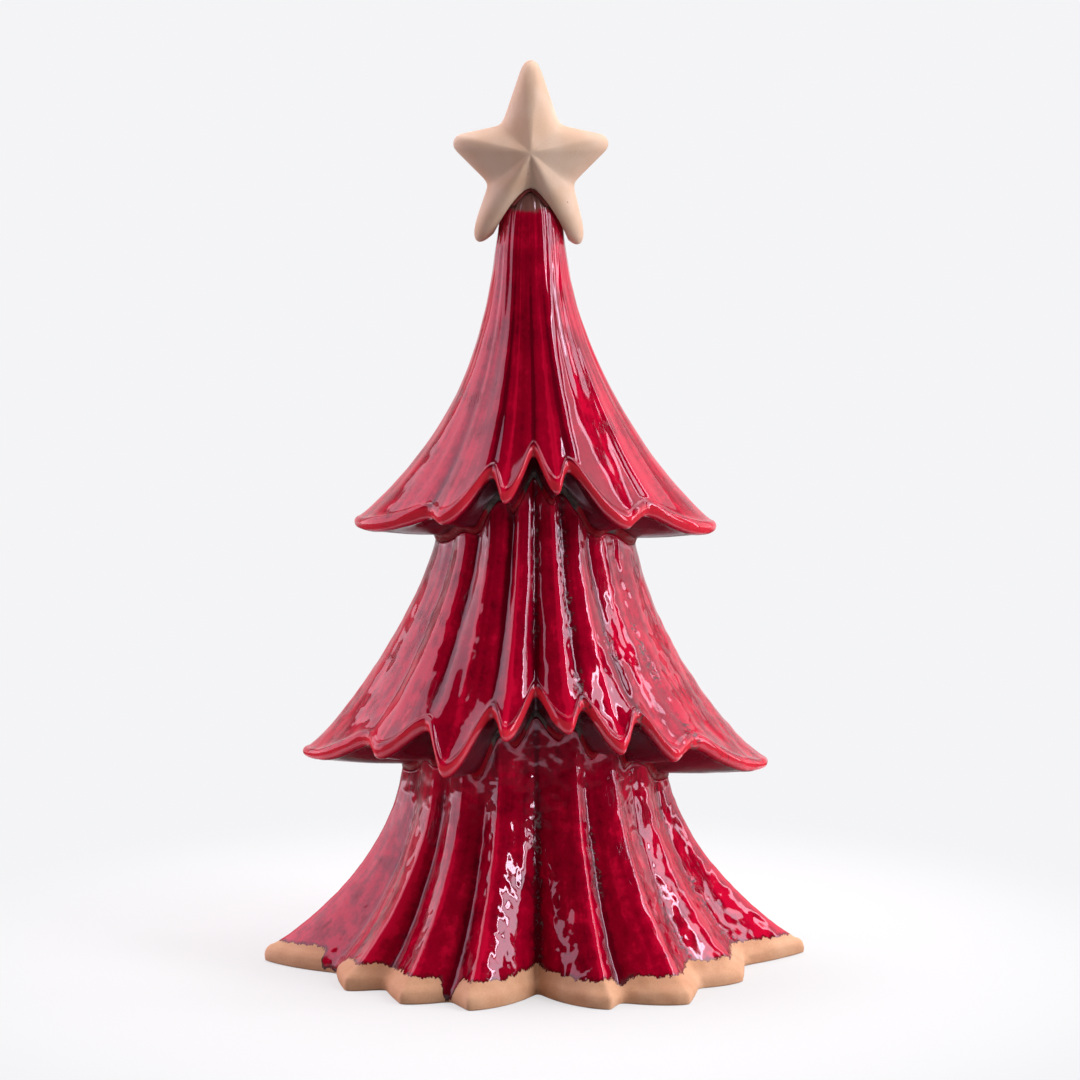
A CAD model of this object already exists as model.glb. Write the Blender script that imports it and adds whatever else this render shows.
# %% [markdown]
# # A red glazed Christmas tree in earthenware
# The real tree is slip-cast clay: three hollow skirts, each with folds that end in a petal hem,
# stand one on another, and a bare clay star sits on top. A thick transparent red glaze covers the
# skirts and stops a finger's width above the table, where the foot stays bare.
# The sizes are the CAD model's, apart from a few that were measured again. This script adds what the eye
# reads as pottery: soft fine forms, lumps and runs in the glaze, the brushed glaze line, and the clay.

# %% Load the fixed frame
import math

import bpy
import numpy as np
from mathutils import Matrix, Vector, noise


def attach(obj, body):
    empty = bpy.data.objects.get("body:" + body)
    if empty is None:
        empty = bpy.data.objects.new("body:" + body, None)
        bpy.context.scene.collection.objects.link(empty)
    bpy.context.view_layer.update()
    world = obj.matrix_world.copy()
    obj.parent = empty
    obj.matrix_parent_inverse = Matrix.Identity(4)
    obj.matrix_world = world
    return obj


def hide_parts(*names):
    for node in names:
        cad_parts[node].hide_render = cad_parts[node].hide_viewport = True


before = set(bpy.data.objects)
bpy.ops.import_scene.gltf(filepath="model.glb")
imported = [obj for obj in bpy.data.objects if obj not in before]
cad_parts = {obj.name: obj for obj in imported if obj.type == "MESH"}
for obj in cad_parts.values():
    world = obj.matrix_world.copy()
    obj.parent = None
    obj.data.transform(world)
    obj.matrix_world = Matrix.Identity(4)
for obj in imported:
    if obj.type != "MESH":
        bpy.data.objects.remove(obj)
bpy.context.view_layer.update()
MM = 0.001

# %% [markdown]
# ## The camera
# The photograph was taken from about two metres, a little above the star, looking down nine degrees.
# A long lens keeps the tree's lines straight. The camera's height and pitch were found from two facts:
# where the star's tip and the foot lie in the picture, and how far the front petals of the foot hang
# below its side petals.

# %% Place the camera
CAMERA_DISTANCE = 2.0
CAMERA_HEIGHT = 0.520
CAMERA_SIDE = 0.002
CAMERA_PITCH = 9.376
LENS = 153.9
WHITE_LEVEL = (0.905, 0.905, 0.922)

scene = bpy.context.scene
camera_data = bpy.data.cameras.new("camera")
camera_data.lens = LENS
camera_data.sensor_width = 36.0
camera = bpy.data.objects.new("camera", camera_data)
camera.location = (CAMERA_SIDE, -CAMERA_DISTANCE, CAMERA_HEIGHT)
camera.rotation_euler = (math.radians(90 - CAMERA_PITCH), 0, 0)
scene.collection.objects.link(camera)
scene.camera = camera
scene.view_settings.view_transform = "Standard"
print("camera looks down", CAMERA_PITCH, "degrees with a", LENS, "mm lens")

# %% [markdown]
# ## How a hem is described
# Seen from above, a skirt's edge is a row of petals. Each tip and each notch between two petals
# is one point: its turn from the front, its reach as a share of the side tips' reach, and its rise as a
# share of the front notch's rise. The back repeats the front in the mirror. Some points were measured
# again after the CAD model was made, so the fine surface lies within some millimetres of it.

# %% Hem points of the three skirts
UPPER_HEM = [
    (-90, 1, -0.03), (-55, 0.69, 0.19), (-46, 0.72, 0.15), (-25, 0.53, 0.7), (-17, 0.615, 0.42),
    (-1, 0.45, 0.96), (12.5, 0.615, 0.53), (18.5, 0.53, 0.78), (46, 0.72, 0.11), (58, 0.705, 0.22),
    (90, 1, -0.08),
]
MIDDLE_HEM = [
    (-90, 1, 0.05), (-66, 0.77, 0.33), (-57, 0.8, 0.24), (-43, 0.655, 0.58), (-32, 0.745, 0.12),
    (-17, 0.585, 0.78), (-11.5, 0.685, 0.53), (0, 0.475, 0.97), (13, 0.685, 0.62), (19, 0.585, 0.86),
    (30, 0.745, 0.38), (39.5, 0.655, 0.69), (49, 0.79, 0.24), (59, 0.77, 0.34), (90, 1, -0.06),
]
LOWER_HEM = [
    (-90, 1, 0), (-75, 0.74, 0), (-57, 0.81, 0), (-52, 0.675, 0), (-37.5, 0.785, 0),
    (-27, 0.655, 0), (-18.5, 0.75, 0), (1, 0.465, 0), (21, 0.745, 0), (26.5, 0.67, 0),
    (41, 0.83, 0), (54.5, 0.71, 0), (65.5, 0.82, 0), (79, 0.765, 0), (90, 1, 0),
]
print("hem points in front:", [len(h) for h in (UPPER_HEM, MIDDLE_HEM, LOWER_HEM)])

# %% [markdown]
# ## From points to a line round the tree
# Each kind of flank between a tip and a notch has two powers, one for its reach and one for its rise, which
# make the petal blunt or sharp. A weighted mean of neighbouring turns rounds the line, as glaze would.

# %% Follow a hem round the tree
LONG_FLANK = (1.65, 2.0)
SHORT_FLANK = (1.1, 1.0)
SIDE_FLANK = (1.4, 3.2)
REAR_FLANK = (1.0, 2.4)
TURNS = 720


def front_turn(turn):
    """Any turn in degrees, seen in the mirror of the front half."""
    t = (turn + 180) % 360 - 180
    t = np.where(t > 90, 180 - t, t)
    return np.where(t < -90, -180 - t, t)


def hem_lines(hem, turn, blunt):
    """Reach share, rise and the share of the notches alone, along a hem."""
    points = np.array(hem, float)
    t = front_turn(turn)
    right = np.clip(np.searchsorted(points[:, 0], t), 1, len(hem) - 1)
    left = right - 1
    left_is_tip = left % 2 == 0
    tip = points[np.where(left_is_tip, left, right)]
    notch = points[np.where(left_is_tip, right, left)]
    side = np.abs(tip[:, 0]) == 90
    outer = np.abs(notch[:, 0]) > np.abs(tip[:, 0])
    behind = np.cos(np.radians(turn)) < 0
    fullness, scallop = [
        np.where(side, np.where(behind, REAR_FLANK[i], SIDE_FLANK[i]),
                 np.where(outer, SHORT_FLANK[i], LONG_FLANK[i])) for i in (0, 1)]
    u = np.clip((t - tip[:, 0]) / (notch[:, 0] - tip[:, 0]), 0, 1)
    share = tip[:, 1] + (notch[:, 1] - tip[:, 1]) * u ** (fullness * blunt)
    rise = tip[:, 2] + (notch[:, 2] - tip[:, 2]) * np.sin(u ** scallop * math.pi / 2)
    return share, rise, np.minimum(share, notch[:, 1])


def soften(line, degrees):
    """Rounds a closed line of values, one per turn, as glaze rounds a crease."""
    step = 360 / len(line)
    reach = int(math.ceil(3 * degrees / step))
    offsets = np.arange(-reach, reach + 1)
    weights = np.exp(-0.5 * (offsets * step / degrees) ** 2)
    weights /= weights.sum()
    return sum(w * np.roll(line, k) for w, k in zip(weights, offsets))


turns = -90 + 360 * np.arange(TURNS) / TURNS
from_front = np.abs(front_turn(turns))
print("a hem line has a value every", 360 / TURNS, "degrees")

# %% [markdown]
# ## The sizes of the skirts
# What differs between the skirts is kept in one dictionary for each. Neck and side are the reach at the top
# and at the side tips, and level and peak say where the hem lies. Front, gather, folds and onset shape it
# seen from above. Straight, flare on the left and right, and beak shape its outline.

# %% Sizes of the skirts
WALL = 6
LIP_HEIGHT = 8
LIP_ROUND = 2.6
FOOT_HEIGHT = 7

LOWER = dict(
    hem=LOWER_HEM, blunt=0.8, level=0, peak=0, lip=FOOT_HEIGHT, taper=0, side=121.5, neck=59,
    gather=0.5, front=0.6, folds=0.35, onset=1.2, straight=0.25, flare=(2.25, 1.9), beak=0.03,
)
MIDDLE = dict(
    hem=MIDDLE_HEM, blunt=1, level=91, peak=40, lip=LIP_HEIGHT, taper=0.4, side=103, neck=44,
    gather=0.55, front=0.58, folds=0.5, onset=0.8, straight=0.35, flare=(1.65, 2.05), beak=0.05,
)
UPPER = dict(
    hem=UPPER_HEM, blunt=1, level=196.5, peak=37, lip=LIP_HEIGHT, taper=0.3, side=79.5, neck=15,
    gather=0, front=0.53, folds=0, onset=1.2, straight=0.3, flare=(2.42, 2.3), beak=0.03,
)
print("reach of the side tips, mm:", [s["side"] for s in (LOWER, MIDDLE, UPPER)])

# %% [markdown]
# ## Lines that each skirt keeps
# Folds, rise and lip are worked out once for each skirt, with one number for each turn. Glaze and slip
# gather in the notches, so these are kept too. At the foot only those count down which the glaze ran.

# %% Work out each skirt's lines
CREASE_ROUND = 1.7
NOTCH_ROUND = 1.3
TIP_ROUND = 0.5
LIP_TAPER_TURN = 11
BODY_TAPER = 1.45
NOTCH_SPREAD = 14
NOTCH_DEPTH = 0.08
FOOT_SPREAD = 10
FOOT_DEPTH = 0.04
GLAZE_RUNS = [(-84, 0), (-78, 1), (-70, 1), (-60, 0.35), (-46, 0.35), (-35, 1), (-20, 1),
              (-8, 0), (8, 0), (20, 0.7), (34, 0.6), (45, 0)]


def notch_strength(skirt, share):
    """1 in the notches between the petals and 0 along the petals."""
    if skirt["peak"]:
        risen = skirt["rise"] - soften(skirt["rise"], NOTCH_SPREAD)
        return np.clip(risen / (NOTCH_DEPTH * skirt["peak"]), 0, 1)
    run_turns, run_strength = np.array(GLAZE_RUNS).T
    inward = soften(share, FOOT_SPREAD) - skirt["share"]
    runs_down = np.interp(front_turn(turns), run_turns, run_strength)
    return runs_down * np.clip(inward / FOOT_DEPTH, 0, 1)


for skirt in (LOWER, MIDDLE, UPPER):
    share, rise, valley = hem_lines(skirt["hem"], turns, skirt["blunt"])
    skirt["share"] = np.maximum(soften(share, CREASE_ROUND * skirt["blunt"]), soften(share, TIP_ROUND))
    skirt["rise"] = soften(rise * skirt["peak"], NOTCH_ROUND)
    skirt["valley"] = soften(valley, CREASE_ROUND)
    skirt["notch"] = notch_strength(skirt, share)
    side_tip = np.exp(-((90 - from_front) / LIP_TAPER_TURN) ** 2)
    skirt["lip_high"] = skirt["lip"] * (1 - skirt["taper"] * side_tip)
    skirt["wall_end"] = skirt["level"] + skirt["rise"] + skirt["lip_high"]
    to_side = (from_front / 90) ** BODY_TAPER
    skirt["body"] = skirt["front"] + (1 - skirt["front"]) * to_side
    left, right = skirt["flare"]
    skirt["flare_round"] = (left + right) / 2 + (right - left) / 2 * np.sin(np.radians(turns))
print("rise of the hems, mm:", [round(float(np.ptp(s["rise"])), 1) for s in (LOWER, MIDDLE, UPPER)])

# %% [markdown]
# ## How a skirt hangs
# A skirt starts at a narrow neck and flares to its hem, slowly at first and then fast, and its folds
# grow deeper on the way down. One formula gives its reach for any turn and any share of the way
# down. The hollow follows the folds only in part, since slip fills the petals.

# %% Reach of a wall and height of a seam
GATHER_ONSET = 0.6
BEAK_POWER = 16
HOLLOW_FOLLOW = 0.4
SEAM_DROP_FRONT = 6.2
SEAM_DROP_SIDE = 1.5
SEAM_DROP_TIP = 2.8
SEAM_DROP_SPREAD = 3
SEAM_FOLLOW = 0.9
UPPER_SEAM = {"level": 190, "peak": 36,
              "rise": [(0, 1), (12, 0.78), (24, 0.57), (47, 0.33), (70, 0.11), (90, 0)]}
LOWER_SEAM = {"level": 86, "peak": 36,
              "rise": [(0, 1), (11, 0.83), (22, 0.64), (46, 0.28), (70, 0.08), (90, 0)]}


def mix(a, b, share):
    return a + (b - a) * share


def side_reach(skirt, down):
    curved = 1 - skirt["straight"] - skirt["beak"]
    spread = (skirt["straight"] * down + curved * down ** skirt["flare_round"]
              + skirt["beak"] * down ** BEAK_POWER)
    return mix(skirt["neck"], skirt["side"] - LIP_ROUND, spread)


def plan_share(skirt, down, share):
    """Reach as a share of the side's: an oval body, and the folds that stand out from it."""
    gathered = mix(skirt["gather"], 1, down ** GATHER_ONSET)
    folded = mix(skirt["folds"], 1, down ** skirt["onset"])
    return 1 + gathered * (skirt["body"] - 1) + folded * (share - skirt["body"])


def wall_reach(skirt, down):
    return side_reach(skirt, down) * plan_share(skirt, down, skirt["share"])


def hollow_reach(skirt, down):
    soft = mix(skirt["valley"], skirt["share"], HOLLOW_FOLLOW)
    return side_reach(skirt, down) * plan_share(skirt, down, soft) - WALL


def seam_height(seam, skirt):
    """The line under a hem on which the skirt stands, lowest below its notches."""
    rise = np.array(seam["rise"], float)
    peak = seam["level"] + seam["peak"] * np.interp(from_front, rise[:, 0], rise[:, 1])
    to_side = (from_front / 90) ** 4
    in_notch = soften(skirt["notch"], SEAM_DROP_SPREAD) * (1 - to_side)
    drop = mix(mix(SEAM_DROP_TIP, SEAM_DROP_SIDE, to_side), SEAM_DROP_FRONT, in_notch)
    under_hem = skirt["level"] + skirt["rise"] - drop
    return mix(peak, under_hem, SEAM_FOLLOW)


LOWER_RIM = wall_reach(LOWER, 0.0)
MIDDLE_RIM = wall_reach(MIDDLE, 0.0)
print("reach of the lower rim, mm:", LOWER_RIM.min().round(1), "to", LOWER_RIM.max().round(1))

# %% [markdown]
# ## From rings to a solid
# Every piece round the axis is a stack of rings: down the outside, in under the hem, and up through the
# hollow. Quads join each ring to the next and the last to the first, so the clay has a real thickness.

# %% Make a solid from rings
ANGLES = np.radians(turns)
ROUND = np.ones(TURNS)


def ring_points(reach, height):
    return np.stack([reach * np.sin(ANGLES), -reach * np.cos(ANGLES), height * ROUND], axis=-1)


def ring_faces(rows, closed, count=TURNS):
    """Quads between neighbouring rings, as corner numbers."""
    upper = np.arange(rows if closed else rows - 1)[:, None] * count
    lower = (upper + count) % (rows * count)
    here = np.arange(count)
    there = (here + 1) % count
    quads = np.broadcast_arrays(upper + here, lower + here, lower + there, upper + there)
    return np.stack(quads, axis=-1).reshape(-1, 4)


def make_object(name, points, faces):
    mesh = bpy.data.meshes.new(name)
    mesh.from_pydata((np.asarray(points) * MM).tolist(), [], faces)
    mesh.shade_smooth()
    obj = bpy.data.objects.new(name, mesh)
    scene.collection.objects.link(obj)
    return obj


def read(obj, kind):
    """Three numbers for each point: its place in metres as "co", or its "normal"."""
    flat = np.zeros(len(obj.data.vertices) * 3)
    obj.data.vertices.foreach_get(kind, flat)
    return flat.reshape(-1, 3)


def write_points(obj, points):
    obj.data.vertices.foreach_set("co", (points * MM).ravel())
    obj.data.update()


def store(obj, name, values):
    """Keeps one number for each point, where the material can read it."""
    layer = obj.data.attributes.new(name, "FLOAT", "POINT")
    layer.data.foreach_set("value", np.asarray(values, np.float32).ravel())


def curve_through(rows, steps):
    """A smooth curve through rows of (reach, height), with some steps from each row to the next."""
    ends = np.array([rows[0]] + rows + [rows[-1]])
    out = []
    for before, a, b, after in zip(ends, ends[1:], ends[2:], ends[3:]):
        for u in np.arange(steps) / steps:
            out.append(0.5 * (2 * a + (b - before) * u + (2 * before - 5 * a + 4 * b - after) * u ** 2
                              + (3 * a - 3 * b + after - before) * u ** 3))
    return out + [ends[-1]]


print("a ring has", TURNS, "points")

# %% [markdown]
# ## Wall, lip, underside and hollow
# The wall ends in a rolled lip. Seen from the front, the lip is a pale band under the dark wall, with a
# shallow crease above it. Below the band the clay turns in under the hem to the seat, where the slip is.

# %% Rows of a skirt
RIM_WIDTH = 8
SLIP_THICKNESS = 3
SLIP_FILLET = 2
SEAT_GAP = 0.3
FLOOR_THICKNESS = 6
WALL_STEPS = 84
LIP_STEPS = 5
CREASE_DEPTH = 0.12
CREASE_WIDTH = 0.03
HOLLOW_FROM = 0.92
HOLLOW_TO = 0.15
HOLLOW_STEPS = 10
BELLY_INWARD = 0.55
BELLY_UPWARD = 0.75
LIP_SHAPE = [(0.98, 0.99), (0.5, 0.9), (0.18, 0.76), (0.02, 0.6), (0, 0.44), (0.1, 0.26), (0.34, 0.12),
             (0.9, 0.03), (2.2, 0)]
FOOT_SHAPE = [(0.95, 1.04), (0.3, 0.8), (0.02, 0.5), (0, 0.22), (0.08, 0.06), (0.4, 0)]


def wall_rows(skirt, top):
    """Outside of the wall, from its neck to the top of its lip."""
    rows = []
    for down in np.linspace(0, 1, WALL_STEPS):
        crease = CREASE_DEPTH * math.exp(-((1 - down) / CREASE_WIDTH) ** 2)
        rows.append(np.array([wall_reach(skirt, down) - crease, mix(top, skirt["wall_end"], down)]))
    return rows


def lip_rows(skirt, heights):
    """The rolled lip, as shares of its roundness inwards and of its height upwards."""
    nose = wall_reach(skirt, 1.0) + LIP_ROUND
    base = skirt["level"] + skirt["rise"]
    return [np.array([nose - inset * LIP_ROUND, base + share * skirt["lip_high"]])
            for inset, share in heights]


def hollow_rows(skirt, top):
    return [np.array([hollow_reach(skirt, down), mix(top, skirt["wall_end"], down)])
            for down in np.linspace(HOLLOW_FROM, HOLLOW_TO, HOLLOW_STEPS)]


def underside_rows(skirt, seam, rim):
    """From the lip in to the seat, then up the edge of the floor."""
    seat = seam_height(seam, skirt)
    lip = lip_rows(skirt, LIP_SHAPE[-1:])[0]
    belly = np.array([mix(lip[0], rim + SLIP_FILLET, BELLY_INWARD), mix(lip[1], seat, BELLY_UPWARD)])
    outer = np.array([rim + SLIP_FILLET, seat])
    inner = np.array([rim - RIM_WIDTH, seat])
    floor = np.array([rim - RIM_WIDTH, seat + FLOOR_THICKNESS])
    return [belly, outer, inner, floor]


LOWER_TOP = seam_height(LOWER_SEAM, MIDDLE) - SLIP_THICKNESS - SEAT_GAP
MIDDLE_TOP = seam_height(UPPER_SEAM, UPPER) - SLIP_THICKNESS - SEAT_GAP
print("the lower skirt's rim lies", LOWER_TOP.min().round(1), "to", LOWER_TOP.max().round(1), "mm high")

# %% [markdown]
# ## Stack each skirt
# The lower skirt ends in the foot, the others in a lip and a seat. The upper one starts with the cone that
# carries the star. The rows outside, which get the glaze, are kept apart from those inside.

# %% Stack the rows of each skirt
NECK_LEVEL = 318
NECK_REACH = 15
DOME_LEVEL = 320
DOME_HEIGHT = 27.5
CONE_TOP_LEVEL = DOME_LEVEL + DOME_HEIGHT
CONE_WALL = 5
CONE_STEPS = 24
CONE_START = 0.97
EASED_FROM = 16
EASED_TO = 34
EASE_PASSES = 80


def lower_rows():
    wall = wall_rows(LOWER, LOWER_TOP)
    foot = curve_through(lip_rows(LOWER, FOOT_SHAPE), LIP_STEPS)
    sole = np.array([hollow_reach(LOWER, 1.0), 0 * ROUND])
    rim = np.array([LOWER_RIM - RIM_WIDTH, LOWER_TOP])
    return wall[:-1] + foot, [sole] + hollow_rows(LOWER, LOWER_TOP) + [rim]


def middle_rows():
    wall = wall_rows(MIDDLE, MIDDLE_TOP)
    under = underside_rows(MIDDLE, LOWER_SEAM, LOWER_RIM)
    lip = curve_through(lip_rows(MIDDLE, LIP_SHAPE) + under[:2], LIP_STEPS)
    rim = np.array([MIDDLE_RIM - RIM_WIDTH, MIDDLE_TOP])
    return wall[:-1] + lip, under[2:] + hollow_rows(MIDDLE, MIDDLE_TOP) + [rim]


def ease_neck(rows):
    """Rubs down the ridge where the cone runs into the wall."""
    rows = np.array(rows)
    first, last = EASED_FROM, EASED_TO
    for _ in range(EASE_PASSES):
        rows[first:last] = (rows[first - 1:last - 1] + 2 * rows[first:last] + rows[first + 1:last + 1]) / 4
    return list(rows)


def upper_rows():
    """The upper skirt runs up into the cone that carries the star."""
    neck = NECK_LEVEL * ROUND
    cone = []
    for angle in np.linspace(CONE_START, 0, CONE_STEPS) * math.pi / 2:
        height = DOME_LEVEL + DOME_HEIGHT * math.sin(angle)
        cone.append(np.array([NECK_REACH * math.cos(angle) * ROUND, height * ROUND]))
    under = underside_rows(UPPER, UPPER_SEAM, MIDDLE_RIM)
    lip = curve_through(lip_rows(UPPER, LIP_SHAPE) + under[:2], LIP_STEPS)
    chimney = np.array([(NECK_REACH - 2 * CONE_WALL) * ROUND,
                        (DOME_LEVEL + DOME_HEIGHT / 3) * ROUND])
    wall = ease_neck(cone + wall_rows(UPPER, neck)[:-1])
    return wall + lip, under[2:] + hollow_rows(UPPER, neck) + [chimney]


for skirt, rows in ((LOWER, lower_rows()), (MIDDLE, middle_rows()), (UPPER, upper_rows())):
    skirt["outside"], skirt["inside"] = rows
    print("rows outside and inside:", len(rows[0]), len(rows[1]))

# %% [markdown]
# ## Two signs of the maker's hand
# The upper skirt leans a little to the left, and the right petal of the foot points a little to the back.
# Both are smooth moves of finished points, so nothing tears.

# %% Lean and set back
SETBACK = 15
SETBACK_TURN = 24
NECK_SHIFT = -2
LEAN_FROM = 0.3


def set_back(points):
    """The right petal of the foot points a little to the back."""
    x, y, z = points.T
    from_right = np.degrees(np.arctan2(y, x)) / SETBACK_TURN
    out = np.clip(np.hypot(x, y) / LOWER["side"], 0, 1)
    low = np.clip(1 - z / MIDDLE["level"], 0, 1)
    points[:, 1] += SETBACK * out ** 2 * low ** 2 * np.exp(-from_right ** 2)


def slump(points):
    """The upper skirt sank a little to the left, most at its neck."""
    up = np.clip((points[:, 2] - UPPER["level"]) / (NECK_LEVEL - UPPER["level"]), LEAN_FROM, 1)
    share = (up - LEAN_FROM) / (1 - LEAN_FROM)
    points[:, 0] += NECK_SHIFT * share ** 2 * (3 - 2 * share)


print("lean and set-back, mm:", NECK_SHIFT, SETBACK)

# %% [markdown]
# ## Lumps and runs in the glaze
# In the kiln the glaze melts, creeps down the folds and stops in lumps, more on the lower skirts than on
# the upper one. Noise gives the lumps and the runs. The bend of the surface tells valleys from ridges.

# %% Noise on the surface, and its bend
RIDGE_REACH = 0.4


def noise_at(points, lump, shift):
    """Smooth noise at points in millimetres, with lumps about that size apart."""
    return np.array([noise.noise(Vector(p / lump + shift)) for p in points])


def run_noise(rows, runs, length, shift):
    """Noise stretched down the folds: many runs round the axis, each some rows long."""
    row = np.repeat(np.arange(rows), TURNS) / length
    angle = np.tile(ANGLES, rows)
    reach = runs / (2 * math.pi)
    round_axis = np.stack([reach * np.sin(angle), reach * np.cos(angle), row + shift], axis=-1)
    return np.array([noise.noise(Vector(p)) for p in round_axis])


def fold_curvature(points, rows, spread):
    """Bend of the surface round the axis, per millimetre: above zero in a valley, below on a ridge."""
    grid = points[:rows * TURNS].reshape(rows, TURNS, 3)
    left = np.roll(grid, spread, axis=1)
    right = np.roll(grid, -spread, axis=1)
    half = np.linalg.norm(right - left, axis=-1) / 2
    outward = grid / np.maximum(np.linalg.norm(grid[..., :2], axis=-1, keepdims=True), 1e-6)
    outward[..., 2] = 0
    bend = ((left + right) / 2 - grid) * outward
    return (2 * bend.sum(axis=-1) / np.maximum(half, RIDGE_REACH) ** 2).ravel()


print("noise far from the tree:", round(noise.noise(Vector((9.5, 3.5, 1.5))), 3))

# %% [markdown]
# ## From rows to a glazed skirt
# Each point moves a few tenths of a millimetre along its normal, and less near the lip, where the glaze
# has drained. Then the mesh keeps what its material reads, such as how far above the hem a point lies.
# Each noise is a size in millimetres and a shift, so that no two layers fall together.

# %% Build the three skirts
LUMP_NOISE = (9, 3.1)
BEAD_NOISE = (4.2, 5.9)
PIT_NOISE = (2.6, 9.4)
PATCH_NOISE = (24, 7.3)
RUN_SHIFT = 1.7
PIT_HEIGHT = 0.5
PATCH_CONTRAST = 2
PATCH_SHARE = 0.75
RIGHT_FADE = 25
RIGHT_MIDDLE = 0.45
RIGHT_LEAST = 0.12
BEADS_LEFT = 0.4
DEEP_BEND = 0.12
BEND_SPREAD = 4
DRAINED_ROWS = 14
SMOOTH_ROWS = 6
DRAINED = 0.15
BAND_FROM = 8
BAND_TO = 31
BAND_EDGE = 4
UNDER_EDGE = 4
SEAT_ROWS = 8
SEAT_EDGE = 6


def skirt_mesh(name, skirt):
    """The plain skirt; the upper one is closed at the cone's tip, outside and in."""
    rows = skirt["outside"] + skirt["inside"]
    points = np.concatenate([ring_points(r, h) for r, h in rows])
    closed = skirt is not UPPER
    faces = ring_faces(len(rows), closed).tolist()
    if not closed:
        tip = len(points)
        foot = (len(rows) - 1) * TURNS
        points = np.concatenate([points, [[0, 0, CONE_TOP_LEVEL]],
                                 [[0, 0, CONE_TOP_LEVEL - 2 * CONE_WALL]]])
        faces += [[tip, i, (i + 1) % TURNS] for i in range(TURNS)]
        faces += [[tip + 1, foot + (i + 1) % TURNS, foot + i] for i in range(TURNS)]
        slump(points)
    if skirt is LOWER:
        set_back(points)
    return make_object(name, points, faces), points


def glaze_strength(outside):
    """Share of the relief for each point outside: all of it on the wall, none at the seat."""
    strength = np.ones(outside)
    strength[-DRAINED_ROWS:] = np.linspace(1, DRAINED, DRAINED_ROWS)
    strength[-SMOOTH_ROWS:] = np.linspace(DRAINED, 0, SMOOTH_ROWS)
    return np.repeat(strength, TURNS)


def height_above_hem(points, outside):
    """Way down the wall from each point outside to the last row."""
    grid = points[:outside * TURNS].reshape(outside, TURNS, 3)
    steps = np.linalg.norm(np.diff(grid, axis=0), axis=-1)
    above = np.zeros((outside, TURNS))
    above[:-1] = np.cumsum(steps[::-1], axis=0)[::-1]
    return above.ravel()


def build_skirt(name, skirt, lump_height, run_height, bead_height):
    """One skirt with its relief, and the numbers that its glaze reads."""
    obj, points = skirt_mesh(name, skirt)
    outside = len(skirt["outside"])
    count = outside * TURNS
    bend = fold_curvature(points, outside, BEND_SPREAD)
    in_valley = np.clip(bend / DEEP_BEND, 0, 1)
    skin = points[:count]
    to_right = np.clip(skin[:, 0] / RIGHT_FADE + RIGHT_MIDDLE, RIGHT_LEAST, 1)
    patchy = np.clip(noise_at(skin, *PATCH_NOISE) * PATCH_CONTRAST + PATCH_SHARE, 0, 1)
    pitted = in_valley * to_right * patchy * (0 if skirt is UPPER else 1)
    relief = lump_height * noise_at(skin, *LUMP_NOISE)
    relief += run_height * run_noise(outside, skirt["runs"], skirt["run_rows"], RUN_SHIFT)
    relief += bead_height * noise_at(skin, *BEAD_NOISE) * mix(BEADS_LEFT, 1, to_right)
    relief += PIT_HEIGHT * pitted * noise_at(skin, *PIT_NOISE)
    skin += read(obj, "normal")[:count] * (relief * glaze_strength(outside))[:, None]
    write_points(obj, points)

    lip_count = outside - WALL_STEPS - (CONE_STEPS if skirt is UPPER else 0)
    lip_row = np.repeat(np.arange(outside), TURNS) - (outside - lip_count)
    band = (np.clip((lip_row - BAND_FROM) / BAND_EDGE, 0, 1)
            * np.clip((BAND_TO - lip_row) / BAND_EDGE, 0, 1))
    has_seat = skirt is not LOWER
    layers = {
        "above_hem": height_above_hem(points, outside),
        "valley": bend,
        "pitted": pitted,
        "outside": np.ones(count),
        "turn": np.tile(ANGLES, outside),
        "lip": band,
        "under": np.clip((lip_row - BAND_TO) / UNDER_EDGE, 0, 1) * has_seat,
        "seat": np.clip((lip_row - lip_count + SEAT_ROWS) / SEAT_EDGE, 0, 1) * has_seat,
        "notch": np.tile(skirt["notch"], outside),
    }
    inside = np.zeros(len(points) - count)
    for key, numbers in layers.items():
        store(obj, key, np.concatenate([numbers, inside]))
    print(name, len(points), "points; bend of folds per mm, 5, 50 and 95 %:",
          np.percentile(bend, (5, 50, 95)).round(3))
    return obj


LOWER["runs"], LOWER["run_rows"] = 70, 22
MIDDLE["runs"], MIDDLE["run_rows"] = 64, 26
UPPER["runs"], UPPER["run_rows"] = 44, 40
lower_skirt = build_skirt("lower_skirt_glazed", LOWER, 0.26, 0.22, 0.3)
middle_skirt = build_skirt("middle_skirt_glazed", MIDDLE, 0.24, 0.22, 0.22)
upper_skirt = build_skirt("upper_skirt_glazed", UPPER, 0.16, 0.34, 0.0)

# %% [markdown]
# ## Slip between the skirts
# Slip is clay thinned with water. It glues one skirt to the next, and a little is squeezed out all round.
# One lumpy ring for each joint shows in the notches between the petals.

# %% Make the two slip joints
SLIP_BEAD = [(1.1, 0.02), (0.5, 0.3), (0.18, 0.65), (0.05, 1)]
SLIP_BEAD_STEPS = 4
SQUEEZE_HEIGHT = 0.35
SQUEEZE_SIZES = (5, 2.2)
SQUEEZE_FINE = 0.6
SIDES_FROM = 70
SIDES_EDGE = 12


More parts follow.
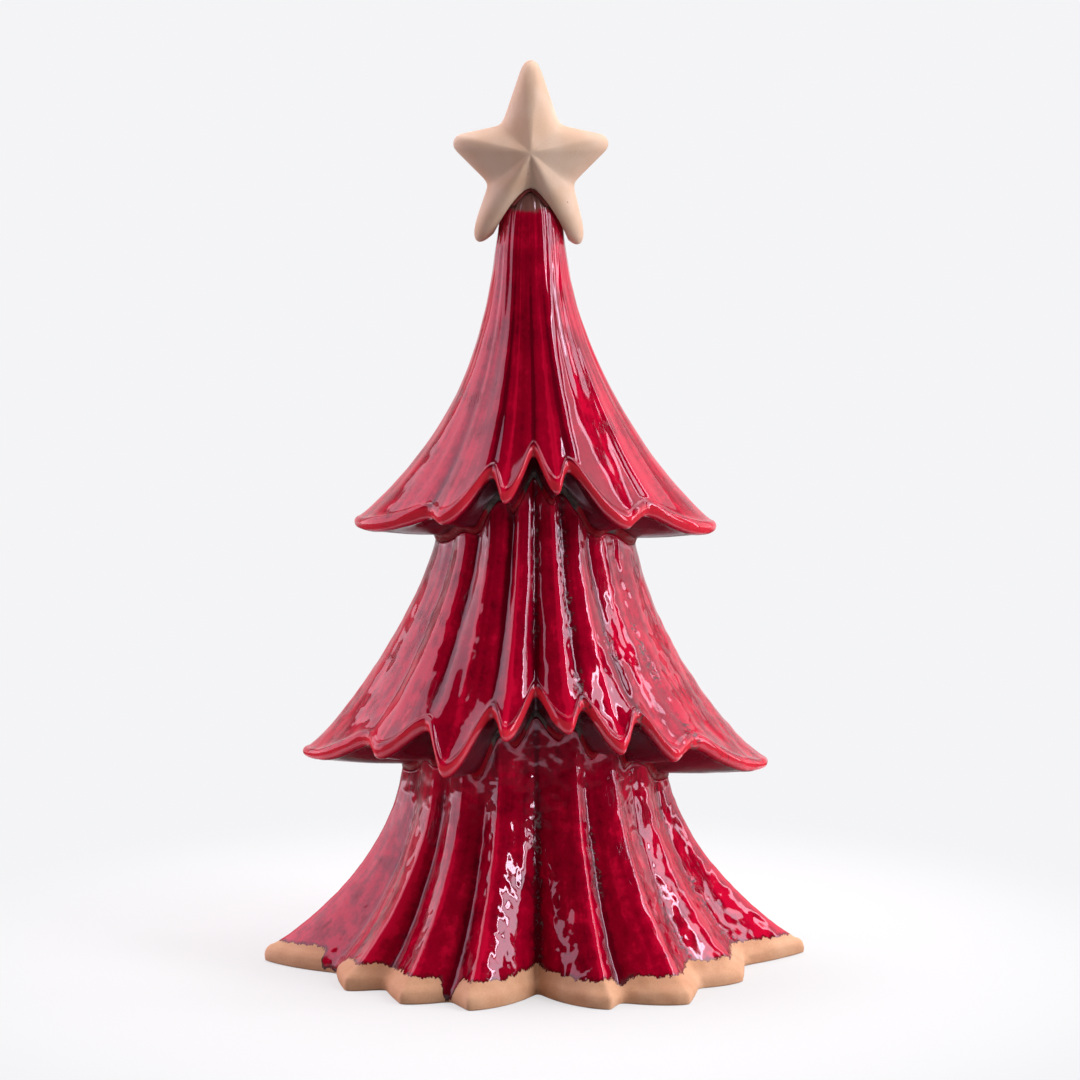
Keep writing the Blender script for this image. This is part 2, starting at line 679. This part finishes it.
def build_slip_joint(name, seam, skirt, rim, shift):
    """A ring of slip, with its bead in shares of the fillet outwards and of the thickness down."""
    seat = seam_height(seam, skirt)
    bead = curve_through([np.array([rim + out * SLIP_FILLET, seat - down * SLIP_THICKNESS])
                          for out, down in SLIP_BEAD], SLIP_BEAD_STEPS)
    rows = bead + [np.array([rim - RIM_WIDTH, seat - SLIP_THICKNESS]),
                   np.array([rim - RIM_WIDTH, seat - SEAT_GAP])]
    points = np.concatenate([ring_points(r, h) for r, h in rows])
    obj = make_object(name, points, ring_faces(len(rows), True).tolist())
    inner = (len(bead) - 2) * TURNS
    coarse, fine = [noise_at(points[:inner], size, shift) for size in SQUEEZE_SIZES]
    squeezed = SQUEEZE_HEIGHT * (coarse + SQUEEZE_FINE * fine)
    points[TURNS:inner] += read(obj, "normal")[TURNS:inner] * squeezed[TURNS:, None]
    write_points(obj, points)
    off_the_sides = np.clip((SIDES_FROM - from_front) / SIDES_EDGE, 0, 1)
    store(obj, "notch", np.tile(skirt["notch"] * off_the_sides, len(rows)))
    print(name, "squeezed out unevenly by up to", round(float(squeezed.max()), 2), "mm")
    return obj


lower_slip = build_slip_joint("lower_slip_bead", LOWER_SEAM, MIDDLE, LOWER_RIM, 2.3)
upper_slip = build_slip_joint("upper_slip_bead", UPPER_SEAM, UPPER, MIDDLE_RIM, 8.1)

# %% [markdown]
# ## The star's outline
# An arm is given by its length, its turn from upright and how far back from the tip its rounding starts,
# and a corner by its distance from the middle and its turn. The legs swing a little to one side.

# %% Draw the star
TOP_ARM = (47.5, 0, 13.4)
SIDE_ARM = (38.5, 82.5, 8)
LEG = (68, 152, 31.5)
LEG_SWING = 1.8
SHOULDER = (16.3, 50)
WAIST = (23.5, 129)
CROTCH = (16.9, 180)
TIP_FULLNESS = 0.58
ARC_STEPS = 15
EDGE_STEPS = 14
ROUND_PASSES = 3
CROTCH_PASSES = 14
CROTCH_WIDTH = 5


def polar(length, degrees):
    turn = math.radians(degrees)
    return length * np.array([math.sin(turn), math.cos(turn)])


def round_corner(before, corner, after, back):
    """Points of a curve that cuts a corner, starting and ending a length back from it."""
    start = corner + (before - corner) * back / np.linalg.norm(before - corner)
    end = corner + (after - corner) * back / np.linalg.norm(after - corner)
    first = mix(corner, start, TIP_FULLNESS)
    second = mix(corner, end, TIP_FULLNESS)
    u = np.linspace(0, 1, ARC_STEPS)[:, None]
    return ((1 - u) ** 3 * start + 3 * u * (1 - u) ** 2 * first + 3 * u ** 2 * (1 - u) * second
            + u ** 3 * end)


def star_outline():
    """The star seen from the front, as one closed row of points."""
    arms = [(TOP_ARM, 1), (SIDE_ARM, 1), (LEG, 1), (LEG, -1), (SIDE_ARM, -1)]
    notches = [polar(*SHOULDER), polar(*WAIST), polar(*CROTCH),
               polar(WAIST[0], -WAIST[1]), polar(SHOULDER[0], -SHOULDER[1])]
    along = np.linspace(0, 1, EDGE_STEPS, endpoint=False)[:, None]
    outline = []
    for i, ((length, degrees, back), side) in enumerate(arms):
        before, after = notches[i - 1], notches[i]
        turn = side * degrees + (LEG_SWING if length == LEG[0] else 0)
        arc = round_corner(before, polar(length, turn), after, back)
        outline += list(mix(before, arc[0], along))
        outline += list(arc)
        outline += list(mix(arc[-1], after, along[1:]))
    outline = np.array(outline)
    crotch = int(np.argmin(np.linalg.norm(outline - notches[2], axis=1)))
    near_crotch = slice(crotch - CROTCH_WIDTH, crotch + CROTCH_WIDTH + 1)
    for done in range(CROTCH_PASSES):
        rounded = (np.roll(outline, 1, 0) + 2 * outline + np.roll(outline, -1, 0)) / 4
        if done < ROUND_PASSES:
            outline = rounded
        else:
            outline[near_crotch] = rounded[near_crotch]
    return outline


print("the star's outline has", len(star_outline()), "points")

# %% [markdown]
# ## The star's body
# The star is cast in two halves, so it has the same soft ridges in front and behind. Each face swells from
# the rim to the middle, and a little smoothing rounds the ridges as a wet sponge does.

# %% Give the star its body
STAR_LEVEL = 361.2
STAR_BULGE = 9
STAR_EDGE = 8
EDGE_SHARPNESS = 6
FACE_RINGS = 26
FIRST_RING = 0.06
SPONGE_PASSES = 8


def closed_faces(rings, count):
    """Faces of a solid whose points are one centre, then its rings, then the other centre."""
    last = 1 + rings * count
    end = last - count
    quads = 1 + ring_faces(rings, False, count)[:, [0, 3, 2, 1]]
    return ([[0, 1 + (i + 1) % count, 1 + i] for i in range(count)] + quads.tolist()
            + [[last, end + i, end + (i + 1) % count] for i in range(count)])


def build_star():
    outline = star_outline()
    shares = np.sin(np.linspace(FIRST_RING, 1, FACE_RINGS) * math.pi / 2)
    depth = STAR_BULGE * (1 - shares) + STAR_EDGE * np.sqrt(1 - shares ** EDGE_SHARPNESS)
    centre = STAR_BULGE + STAR_EDGE
    rings = [(s, -d) for s, d in zip(shares, depth)]
    rings += [(s, -y) for s, y in rings[-2::-1]]
    points = [[0, -centre, 0]]
    points += [[x * s, y, z * s] for s, y in rings for x, z in outline]
    points.append([0, centre, 0])
    points = np.array(points) + [NECK_SHIFT, 0, STAR_LEVEL]
    obj = make_object("star_bare", points, closed_faces(len(rings), len(outline)))
    smooth = obj.modifiers.new("sponge", "SMOOTH")
    smooth.factor = 0.5
    smooth.iterations = SPONGE_PASSES
    return obj


star = build_star()
print("star:", len(star.data.vertices), "points")

# %% [markdown]
# ## Socket and slip cap
# A socket under the star fits over the cone and its slip. The slip cap is what a slightly larger star and
# a slightly larger cone have in common, less the cone itself. It shows as a brown dome between the legs.

# %% Cut the socket and make the slip cap
STAR_SLIP_THICKNESS = 0.8
STAR_SLIP_LEVEL = CONE_TOP_LEVEL - 10
STAR_SLIP_BEAD = 1.2
SOCKET_STEPS = 96
SIDE_ROWS = 6
DOME_ROWS = 24
SOCKET_CLEARANCE = 2 * SEAT_GAP
CAP_CLEARANCE = 1.6 * SEAT_GAP


def turned_solid(name, start, grow):
    """The cone from a level up to its domed tip, as a solid grown by a clearance."""
    reach, height = NECK_REACH + grow, DOME_HEIGHT + grow
    first = math.asin(max(0, (start - DOME_LEVEL) / height))
    profile = []
    if first == 0:
        profile = [(reach, z) for z in np.linspace(start, DOME_LEVEL, SIDE_ROWS)[:-1]]
    profile += [(reach * math.cos(a), DOME_LEVEL + height * math.sin(a))
                for a in np.linspace(first, math.pi / 2, DOME_ROWS)[:-1]]
    around = np.linspace(0, 2 * math.pi, SOCKET_STEPS, endpoint=False)
    points = [[NECK_SHIFT, 0, start]]
    points += [[NECK_SHIFT + r * math.sin(a), -r * math.cos(a), z] for r, z in profile for a in around]
    points.append([NECK_SHIFT, 0, DOME_LEVEL + height])
    return make_object(name, points, closed_faces(len(profile), SOCKET_STEPS))


def combine(obj, operation, other):
    """Cuts the other solid out of the object, or keeps what lies in both, and removes the other."""
    cut = obj.modifiers.new("combine", "BOOLEAN")
    cut.operation = operation
    cut.solver = "EXACT"
    cut.object = other
    bpy.context.view_layer.update()
    graph = bpy.context.evaluated_depsgraph_get()
    mesh = bpy.data.meshes.new_from_object(obj.evaluated_get(graph))
    obj.modifiers.clear()
    obj.data = mesh
    obj.data.shade_smooth()
    bpy.data.objects.remove(other)


star_slip = build_star()
star_slip.name = "star_slip_bead"
swollen = read(star_slip, "co") / MM + STAR_SLIP_BEAD * read(star_slip, "normal")
write_points(star_slip, swollen)
socket = turned_solid("socket", STAR_LEVEL - LEG[0], STAR_SLIP_THICKNESS + SOCKET_CLEARANCE)
combine(star, "DIFFERENCE", socket)
bead = turned_solid("bead", STAR_SLIP_LEVEL, STAR_SLIP_THICKNESS + CAP_CLEARANCE)
combine(star_slip, "INTERSECT", bead)
combine(star_slip, "DIFFERENCE", turned_solid("hollow", STAR_SLIP_LEVEL - 1, SEAT_GAP))
print("star with its socket, and slip cap:", len(star.data.vertices), len(star_slip.data.vertices))

# %% [markdown]
# ## A short way to write materials
# A material is a graph of small nodes. The first class wraps a node's output, so that plain sums such as
# `a * 2 + b` make the maths nodes. Any other node comes from one method of the second class: its type, its
# settings, and then a value or a link for each input.

# %% Wrap the shader's sockets
def operator(operation, reflected=False):
    """The method behind a sign such as +, also where the sum starts with a plain number."""
    def work(self, other):
        pair = (other, self) if reflected else (self, other)
        return self.shader.maths(operation, *pair)
    return work


class Signal:
    """A number or a colour that flows between shader nodes."""

    __add__, __radd__ = operator("ADD"), operator("ADD", True)
    __sub__, __rsub__ = operator("SUBTRACT"), operator("SUBTRACT", True)
    __mul__, __rmul__ = operator("MULTIPLY"), operator("MULTIPLY", True)
    __truediv__, __rtruediv__ = operator("DIVIDE"), operator("DIVIDE", True)

    def __init__(self, shader, socket):
        self.shader = shader
        self.socket = socket

    def through(self, operation, *values):
        """The number put through one more operation, such as a sine."""
        return self.shader.maths(operation, self, *values)

    def clamp(self):
        return self.through("MAXIMUM", 0.0).through("MINIMUM", 1.0)

    def ramp(self, low, high):
        """0 below low and 1 above high, with a smooth rise between them."""
        return self.shader.add("MapRange", {"interpolation_type": "SMOOTHSTEP"},
                               {"Value": self, "From Min": low, "From Max": high})


class Shader:
    """Builds the nodes of a material, or of the world around the studio."""

    def __init__(self, holder):
        self.holder = holder
        holder.use_nodes = True
        self.tree = holder.node_tree
        self.tree.nodes.clear()

    def add(self, kind, settings, inputs, output=0):
        """One node, and the signal that leaves it; the last node of a graph has none."""
        node = self.tree.nodes.new("ShaderNode" + kind)
        for name, value in settings.items():
            setattr(node, name, value)
        for place, value in inputs.items():
            if isinstance(value, Signal):
                self.tree.links.new(value.socket, node.inputs[place])
            else:
                node.inputs[place].default_value = value
        return Signal(self, node.outputs[output]) if len(node.outputs) else None

    def maths(self, operation, *values):
        return self.add("Math", {"operation": operation}, dict(enumerate(values)))

    def attribute(self, name):
        return self.add("Attribute", {"attribute_name": name}, {}, "Fac")

    def position(self, stretch=(1, 1, 1)):
        """The point in millimetres, stretched along the axes."""
        place = self.add("TexCoord", {}, {}, "Object")
        scale = tuple(s / MM for s in stretch)
        return self.add("VectorMath", {"operation": "MULTIPLY"}, {0: place, 1: scale})

    def noise(self, place, size, detail=2.0, roughness=0.5):
        """Smooth noise from 0 to 1, with lumps about that size apart."""
        return self.add("TexNoise", {}, {"Vector": place, "Scale": 1 / size, "Detail": detail,
                                         "Roughness": roughness}, "Fac")

    def blend(self, share, first, second):
        """One colour laid over another; inputs 6 and 7 of this node are its colours."""
        return self.add("Mix", {"data_type": "RGBA"}, {"Factor": share, 6: first, 7: second}, 2)

    def layers(self, colour, layers):
        """A base colour with others over it, each with its share."""
        for share, top in layers:
            colour = self.blend(share, colour, top)
        return colour

    def bump(self, height, strength, distance):
        return self.add("Bump", {}, {"Height": height, "Strength": strength,
                                     "Distance": distance * MM}, "Normal")

    def surface(self, inputs):
        """The finished surface of the material."""
        skin = self.add("BsdfPrincipled", {}, inputs)
        self.add("OutputMaterial", {}, {"Surface": skin})
        return self.holder


def linear(red, green, blue):
    """A colour as seen on a screen, 0 to 255, turned into the light values that a shader uses."""
    def channel(v):
        v /= 255
        return v / 12.92 if v <= 0.04045 else ((v + 0.055) / 1.055) ** 2.4
    return (channel(red), channel(green), channel(blue), 1.0)


print("mid grey on the screen is light value", round(linear(128, 128, 128)[0], 3))

# %% [markdown]
# ## Colours of the glaze
# The glaze is red and see-through. It is thin and bright on a ridge, and pools deep and dark in a valley.
# Where it ends there is a dark edge, and where it gathered over slip it turned grey. The levels are in
# millimetres.

# %% List the colours of the glaze
THIN_RED = linear(200, 8, 50)
RED = linear(152, 0, 34)
DEEP_RED = linear(102, 0, 22)
LIP_RED = linear(222, 48, 64)
UNDERSIDE_RED = linear(70, 0, 14)
LINE_RED = linear(84, 10, 20)
CRACK_RED = linear(58, 4, 14)
DARK_PIT = linear(66, 22, 26)
GREY_PIT = linear(112, 90, 88)
GREY_RUN = linear(86, 66, 66)
SEAT_GREY = linear(66, 54, 52)
BISCUIT = linear(120, 80, 74)
DARK_CLAY = linear(208, 150, 112)
PALE_CLAY = linear(226, 176, 140)
GLAZE_LINE = 14.0
BISCUIT_FROM = 334.5
BISCUIT_TO = 337
BRUSH_LENGTH = 60
POINT_NUMBERS = ("above_hem", "valley", "pitted", "outside", "turn", "lip", "under", "seat", "notch")
print("red of the glaze, as light values:", np.round(RED[:3], 3))

# %% [markdown]
# ## Red glaze over clay
# The depth of the glaze is a sum of what makes it thick or thin: valleys, streaks of the brush, blotches,
# and the flanks, where it is thinner. Pits let grey clay through, and fine cracks cross the flanks. The
# foot below the glaze line is bare, and the line is ragged where the brush lifted. The skirts differ in how
# fine their streaks are, and in how strong their blotches, pale hem band and beads are.

# %% Make the glaze
def glaze_material(name, streak, has_foot, mottle, band, beads):
    shader = Shader(bpy.data.materials.new(name))
    place = shader.position()
    above, valley, pitted, outside, turn, lip, under, seat, notch = [
        shader.attribute(key) for key in POINT_NUMBERS]
    flank = turn.through("SINE").through("ABSOLUTE")
    round_axis = shader.add("CombineXYZ", {}, {
        "X": turn.through("SINE") * streak,
        "Y": turn.through("COSINE") * streak,
        "Z": above / BRUSH_LENGTH,
    })
    brushed = shader.noise(round_axis, 1.0)
    cloud = shader.noise(place, 13, 3.0)
    blotch = shader.noise(place, 5.5, 3.0, 0.6)
    speckle = shader.noise(place, 1.9, 2.0, 0.6)

    depth = valley * 1.6 + (brushed - 0.5) * (flank * 0.7 + 0.5) + (cloud - 0.5)
    depth = depth + (blotch - 0.5) * mottle + (speckle - 0.5) * 0.5
    depth = (depth + 0.5 - flank.ramp(0.5, 0.95) * 0.28).clamp()
    bare = (speckle.ramp(0.5, 0.62) * pitted.ramp(0.15, 0.6)).clamp()
    crack = (shader.noise(round_axis, 0.42, 2.0, 0.55) - 0.5).through("ABSOLUTE").ramp(0.012, 0.004)
    crack = crack * cloud.ramp(0.5, 0.62) * (1 - pitted) * flank.ramp(0.5, 0.75)
    reds = [
        (depth.ramp(0.0, 0.45), RED),
        (depth.ramp(0.45, 0.95), DEEP_RED),
        (lip * band, LIP_RED),
        (under * 0.9, UNDERSIDE_RED),
        (bare * 0.8, shader.blend(blotch.ramp(0.5, 0.62), DARK_PIT, GREY_PIT)),
        (crack * 0.5, CRACK_RED),
    ]

    if has_foot:
        bristle = shader.noise(shader.position((1, 1, 0.16)), 0.75, 2.0, 0.6)
        ragged = shader.noise(shader.position((1, 1, 0.5)), 3.2, 3.0, 0.6)
        edge = (above + (bristle - 0.5) * 3.6 + (ragged - 0.5) * 5 + (cloud - 0.5) * 6
                + notch * notch * 12 - GLAZE_LINE)
        glazed = edge.ramp(-0.15, 0.15) * outside
        reds += [(edge.ramp(2.4, 0.2) * 0.9, LINE_RED),
                 (edge.ramp(3.6, 0.6) * notch * blotch.ramp(0.4, 0.55), GREY_RUN)]
    else:
        glazed = outside
        level = shader.add("SeparateXYZ", {}, {0: place}, "Z") + (blotch - 0.5) * 5
        reds += [(seat * notch.ramp(0.1, 0.5) * blotch.ramp(0.35, 0.5), SEAT_GREY),
                 (level.ramp(BISCUIT_FROM, BISCUIT_TO), BISCUIT)]

    grain = shader.noise(place, 0.8, 4.0, 0.7)
    clay = shader.blend((cloud * 0.6 + grain * 0.4).ramp(0.3, 0.7), DARK_CLAY, PALE_CLAY)
    lumps = shader.noise(place, 4.6, 0.5) * ((1 - flank.ramp(0.5, 0.85)) * beads + 0.5 * mottle)
    height = lumps + shader.noise(place, 1.2) * 0.5 * pitted - crack * 0.25
    relief = height * glazed + grain * 0.25 * (1 - glazed) + glazed * 0.9
    return shader.surface({
        "Base Color": shader.blend(glazed, clay, shader.layers(THIN_RED, reds)),
        "Roughness": 0.8 + (0.06 + bare * 0.3 + under * 0.2 - 0.8) * glazed,
        "IOR": 1.6,
        "Specular Tint": (1.0, 0.8, 1.0, 1.0),
        "Normal": shader.bump(relief, 0.5, 0.5),
    })


for skirt, name, numbers in (
    (lower_skirt, "lower", dict(streak=22, has_foot=True, mottle=1.0, band=0, beads=1.5)),
    (middle_skirt, "middle", dict(streak=20, has_foot=False, mottle=0.8, band=0.75, beads=0.35)),
    (upper_skirt, "upper", dict(streak=15, has_foot=False, mottle=0.4, band=0.75, beads=0)),
):
    material = glaze_material("red_glaze_" + name, **numbers)
    skirt.data.materials.append(material)
    print(material.name, "has", len(material.node_tree.nodes), "nodes")

# %% [markdown]
# ## Slip and bare clay
# Grey slip is rough and uneven, with smears of glaze where the petals reach over it. The star's clay is pale,
# with a fine grain and a few dark specks from the raw clay.

# %% Make the slips and the clay
STAR_CLAY = linear(214, 180, 156)
PALE_STAR_CLAY = linear(222, 196, 178)
GRAIN_BROWN = linear(204, 156, 128)
SPECK_BROWN = linear(150, 110, 90)


def slip_material(name, dark, light, glazed, roughness):
    """Rough slip in the notches, with smears of glaze between them."""
    shader = Shader(bpy.data.materials.new(name))
    cloud = shader.noise(shader.position(), 3.0, 4.0, 0.6)
    colour = shader.blend(cloud.ramp(0.35, 0.65), dark, light)
    smear = (1 - shader.attribute("notch").ramp(0.3, 0.9)) * cloud.ramp(0.2, 0.36)
    return shader.surface({
        "Base Color": shader.blend(smear, colour, glazed),
        "Roughness": roughness,
        "IOR": 1.25,
        "Normal": shader.bump(cloud, 0.6, 0.6),
    })


def clay_material(name):
    """Pale clay with a fine grain and a few specks."""
    shader = Shader(bpy.data.materials.new(name))
    place = shader.position()
    grain = shader.noise(place, 0.7, 4.0, 0.7)
    cloud = shader.noise(place, 14)
    speck = shader.noise(place, 2.3, 0.0)
    browns = [
        (cloud.ramp(0.3, 0.7), PALE_STAR_CLAY),
        ((grain - 0.5) * 0.5 + 0.15, GRAIN_BROWN),
        (speck.ramp(0.86, 0.89), SPECK_BROWN),
    ]
    return shader.surface({
        "Base Color": shader.layers(STAR_CLAY, browns),
        "Roughness": 0.85,
        "Normal": shader.bump(grain, 0.35, 0.3),
    })


grey_slip = slip_material("grey_slip", linear(54, 44, 44), linear(98, 82, 80), linear(136, 0, 22), 0.4)
brown_slip = slip_material("brown_slip", linear(112, 66, 64), linear(140, 92, 86), linear(128, 60, 58), 0.3)
star_clay = clay_material("bare_clay")
for piece, material in ((lower_slip, grey_slip), (upper_slip, grey_slip),
                        (star_slip, brown_slip), (star, star_clay)):
    piece.data.materials.clear()
    piece.data.materials.append(material)
print("materials:", sorted(m.name for m in bpy.data.materials if m.users))

# %% [markdown]
# ## Tie every piece to the frame
# All pieces belong to the one body. Each stands for its CAD node and names the finish that the record
# keeps for it.

# %% Ride, replace and name the finish
PIECES = [
    (lower_skirt, "lower_skirt", "red_glaze"),
    (lower_slip, "lower_slip_joint", "grey_slip"),
    (middle_skirt, "middle_skirt", "red_glaze"),
    (upper_slip, "upper_slip_joint", "grey_slip"),
    (upper_skirt, "upper_skirt", "red_glaze"),
    (star_slip, "star_slip", "brown_slip"),
    (star, "star", "bare_clay"),
]
for piece, node, finish in PIECES:
    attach(piece, "root")
    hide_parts(node)
print(len(PIECES), "pieces stand for", len(PIECES), "CAD nodes")

# %% [markdown]
# ## The table
# A pale table runs out of sight in all directions. For the camera it glows in the background colour, fully
# so far out and in part near the tree, where its shadow shows. The glaze mirrors it as a sheet of paper:
# white behind the tree, and dim in front, to the sides and right by the foot.

# %% Lay the table
TABLE_SIZE = 30.0
PAPER = (0.82, 0.82, 0.83, 1)
DIM_FLOOR = (0.06, 0.06, 0.06, 1)


def table_material():
    shader = Shader(bpy.data.materials.new("pale_table"))
    place = shader.add("TexCoord", {}, {}, "Object")
    distance = shader.add("VectorMath", {"operation": "LENGTH"}, {0: place}, "Value")
    far = distance.ramp(0.12, 0.32)
    seen = shader.add("LightPath", {}, {}, "Is Camera Ray")
    mirrored = shader.add("LightPath", {}, {}, "Is Glossy Ray")
    behind = shader.add("SeparateXYZ", {}, {0: place}, "Y").ramp(0.3, 1.0)
    beyond = (distance.ramp(0.27, 0.36) * (1 - behind) + distance.ramp(0.2, 0.13) * 0.8) * (1 - seen)
    white = shader.add("BsdfDiffuse", {}, {"Color": shader.blend(beyond, PAPER, DIM_FLOOR)})
    glow = shader.add("Emission", {}, {"Color": (*WHITE_LEVEL, 1), "Strength": 1.0})
    share = seen * (0.6 + far * 0.4) + mirrored * behind * far
    both = shader.add("MixShader", {}, {0: share, 1: white, 2: glow})
    shader.add("OutputMaterial", {}, {"Surface": both})
    return shader.holder


table = bpy.data.objects.new("table", bpy.data.meshes.new("table"))
half = TABLE_SIZE / 2
table.data.from_pydata([(-half, -half, 0), (half, -half, 0), (half, half, 0), (-half, half, 0)],
                       [], [(0, 1, 2, 3)])
table.data.materials.append(table_material())
scene.collection.objects.link(table)
print("table is", TABLE_SIZE, "m wide")

# %% [markdown]
# ## Studio light
# A large soft box on the left gives the broad pink sheen. On the right, a narrow box and two strips give
# the crisp white lines, and a wide dim one lights the rim. Another hangs high up behind the tree. None
# stands in front, so the red is deep there.

# %% Hang the lights
TREE_MIDDLE = Vector((0, 0, 0.2))
PINK = (1.0, 0.83, 0.9)
FAINT_PINK = (1.0, 0.9, 0.94)
RIM_PINK = (1.0, 0.88, 0.9)


def soft_box(name, azimuth, elevation, distance, width, height, radiance, colour=(1, 1, 1)):
    """A rectangle of light that faces the tree; azimuth is from the front, towards the right."""
    data = bpy.data.lights.new(name, "AREA")
    data.shape = "RECTANGLE"
    data.size = width
    data.size_y = height
    data.energy = radiance * math.pi * width * height
    data.color = colour
    lamp = bpy.data.objects.new(name, data)
    a, e = math.radians(azimuth), math.radians(elevation)
    arm = Vector((math.sin(a) * math.cos(e), -math.cos(a) * math.cos(e), math.sin(e)))
    lamp.location = TREE_MIDDLE + arm * distance
    lamp.rotation_euler = arm.to_track_quat("Z", "Y").to_euler()
    scene.collection.objects.link(lamp)


soft_box("left_box", -98, 22, 1.5, 1.7, 2.0, 2.2, PINK)
soft_box("right_box", 70, 28, 1.5, 0.36, 2.2, 5.4)
soft_box("right_strip", 59, 24, 1.45, 0.09, 1.6, 18)
soft_box("far_strip", 96, 26, 1.45, 0.14, 1.8, 7, FAINT_PINK)
soft_box("right_rim", 115, 24, 1.5, 0.8, 2.0, 1.5, RIM_PINK)
soft_box("top_box", 180, 68, 1.4, 1.6, 0.9, 2.9)

# %% [markdown]
# ## The room around the tree
# The camera sees the plain background, and the glaze mirrors a dark room with pale paper behind the tree.
# All other rays bring an even light, so no shadow is black.

# %% Build the room
PAPER_BEHIND = (0.86, 0.86, 0.88, 1)
DARK_ROOM = (0.006, 0.006, 0.006, 1)
EVEN_LIGHT = (0.3, 0.29, 0.28, 1)

room = Shader(bpy.data.worlds.new("studio"))
scene.world = room.holder
direction = room.add("TexCoord", {}, {}, "Generated")
behind = room.add("SeparateXYZ", {}, {0: direction}, "Y").ramp(0.5, 0.9)
paper, dark, even, plain = [room.add("Background", {}, {"Color": colour}) for colour in (
    PAPER_BEHIND, DARK_ROOM, EVEN_LIGHT, (*WHITE_LEVEL, 1))]
mirrored = room.add("MixShader", {}, {0: behind, 1: dark, 2: paper})
glossy_ray = room.add("LightPath", {}, {}, "Is Glossy Ray")
light = room.add("MixShader", {}, {0: glossy_ray, 1: even, 2: mirrored})
camera_ray = room.add("LightPath", {}, {}, "Is Camera Ray")
seen = room.add("MixShader", {}, {0: camera_ray, 1: light, 2: plain})
room.add("OutputWorld", {}, {"Surface": seen})
print("the room has", len(room.tree.nodes), "nodes")
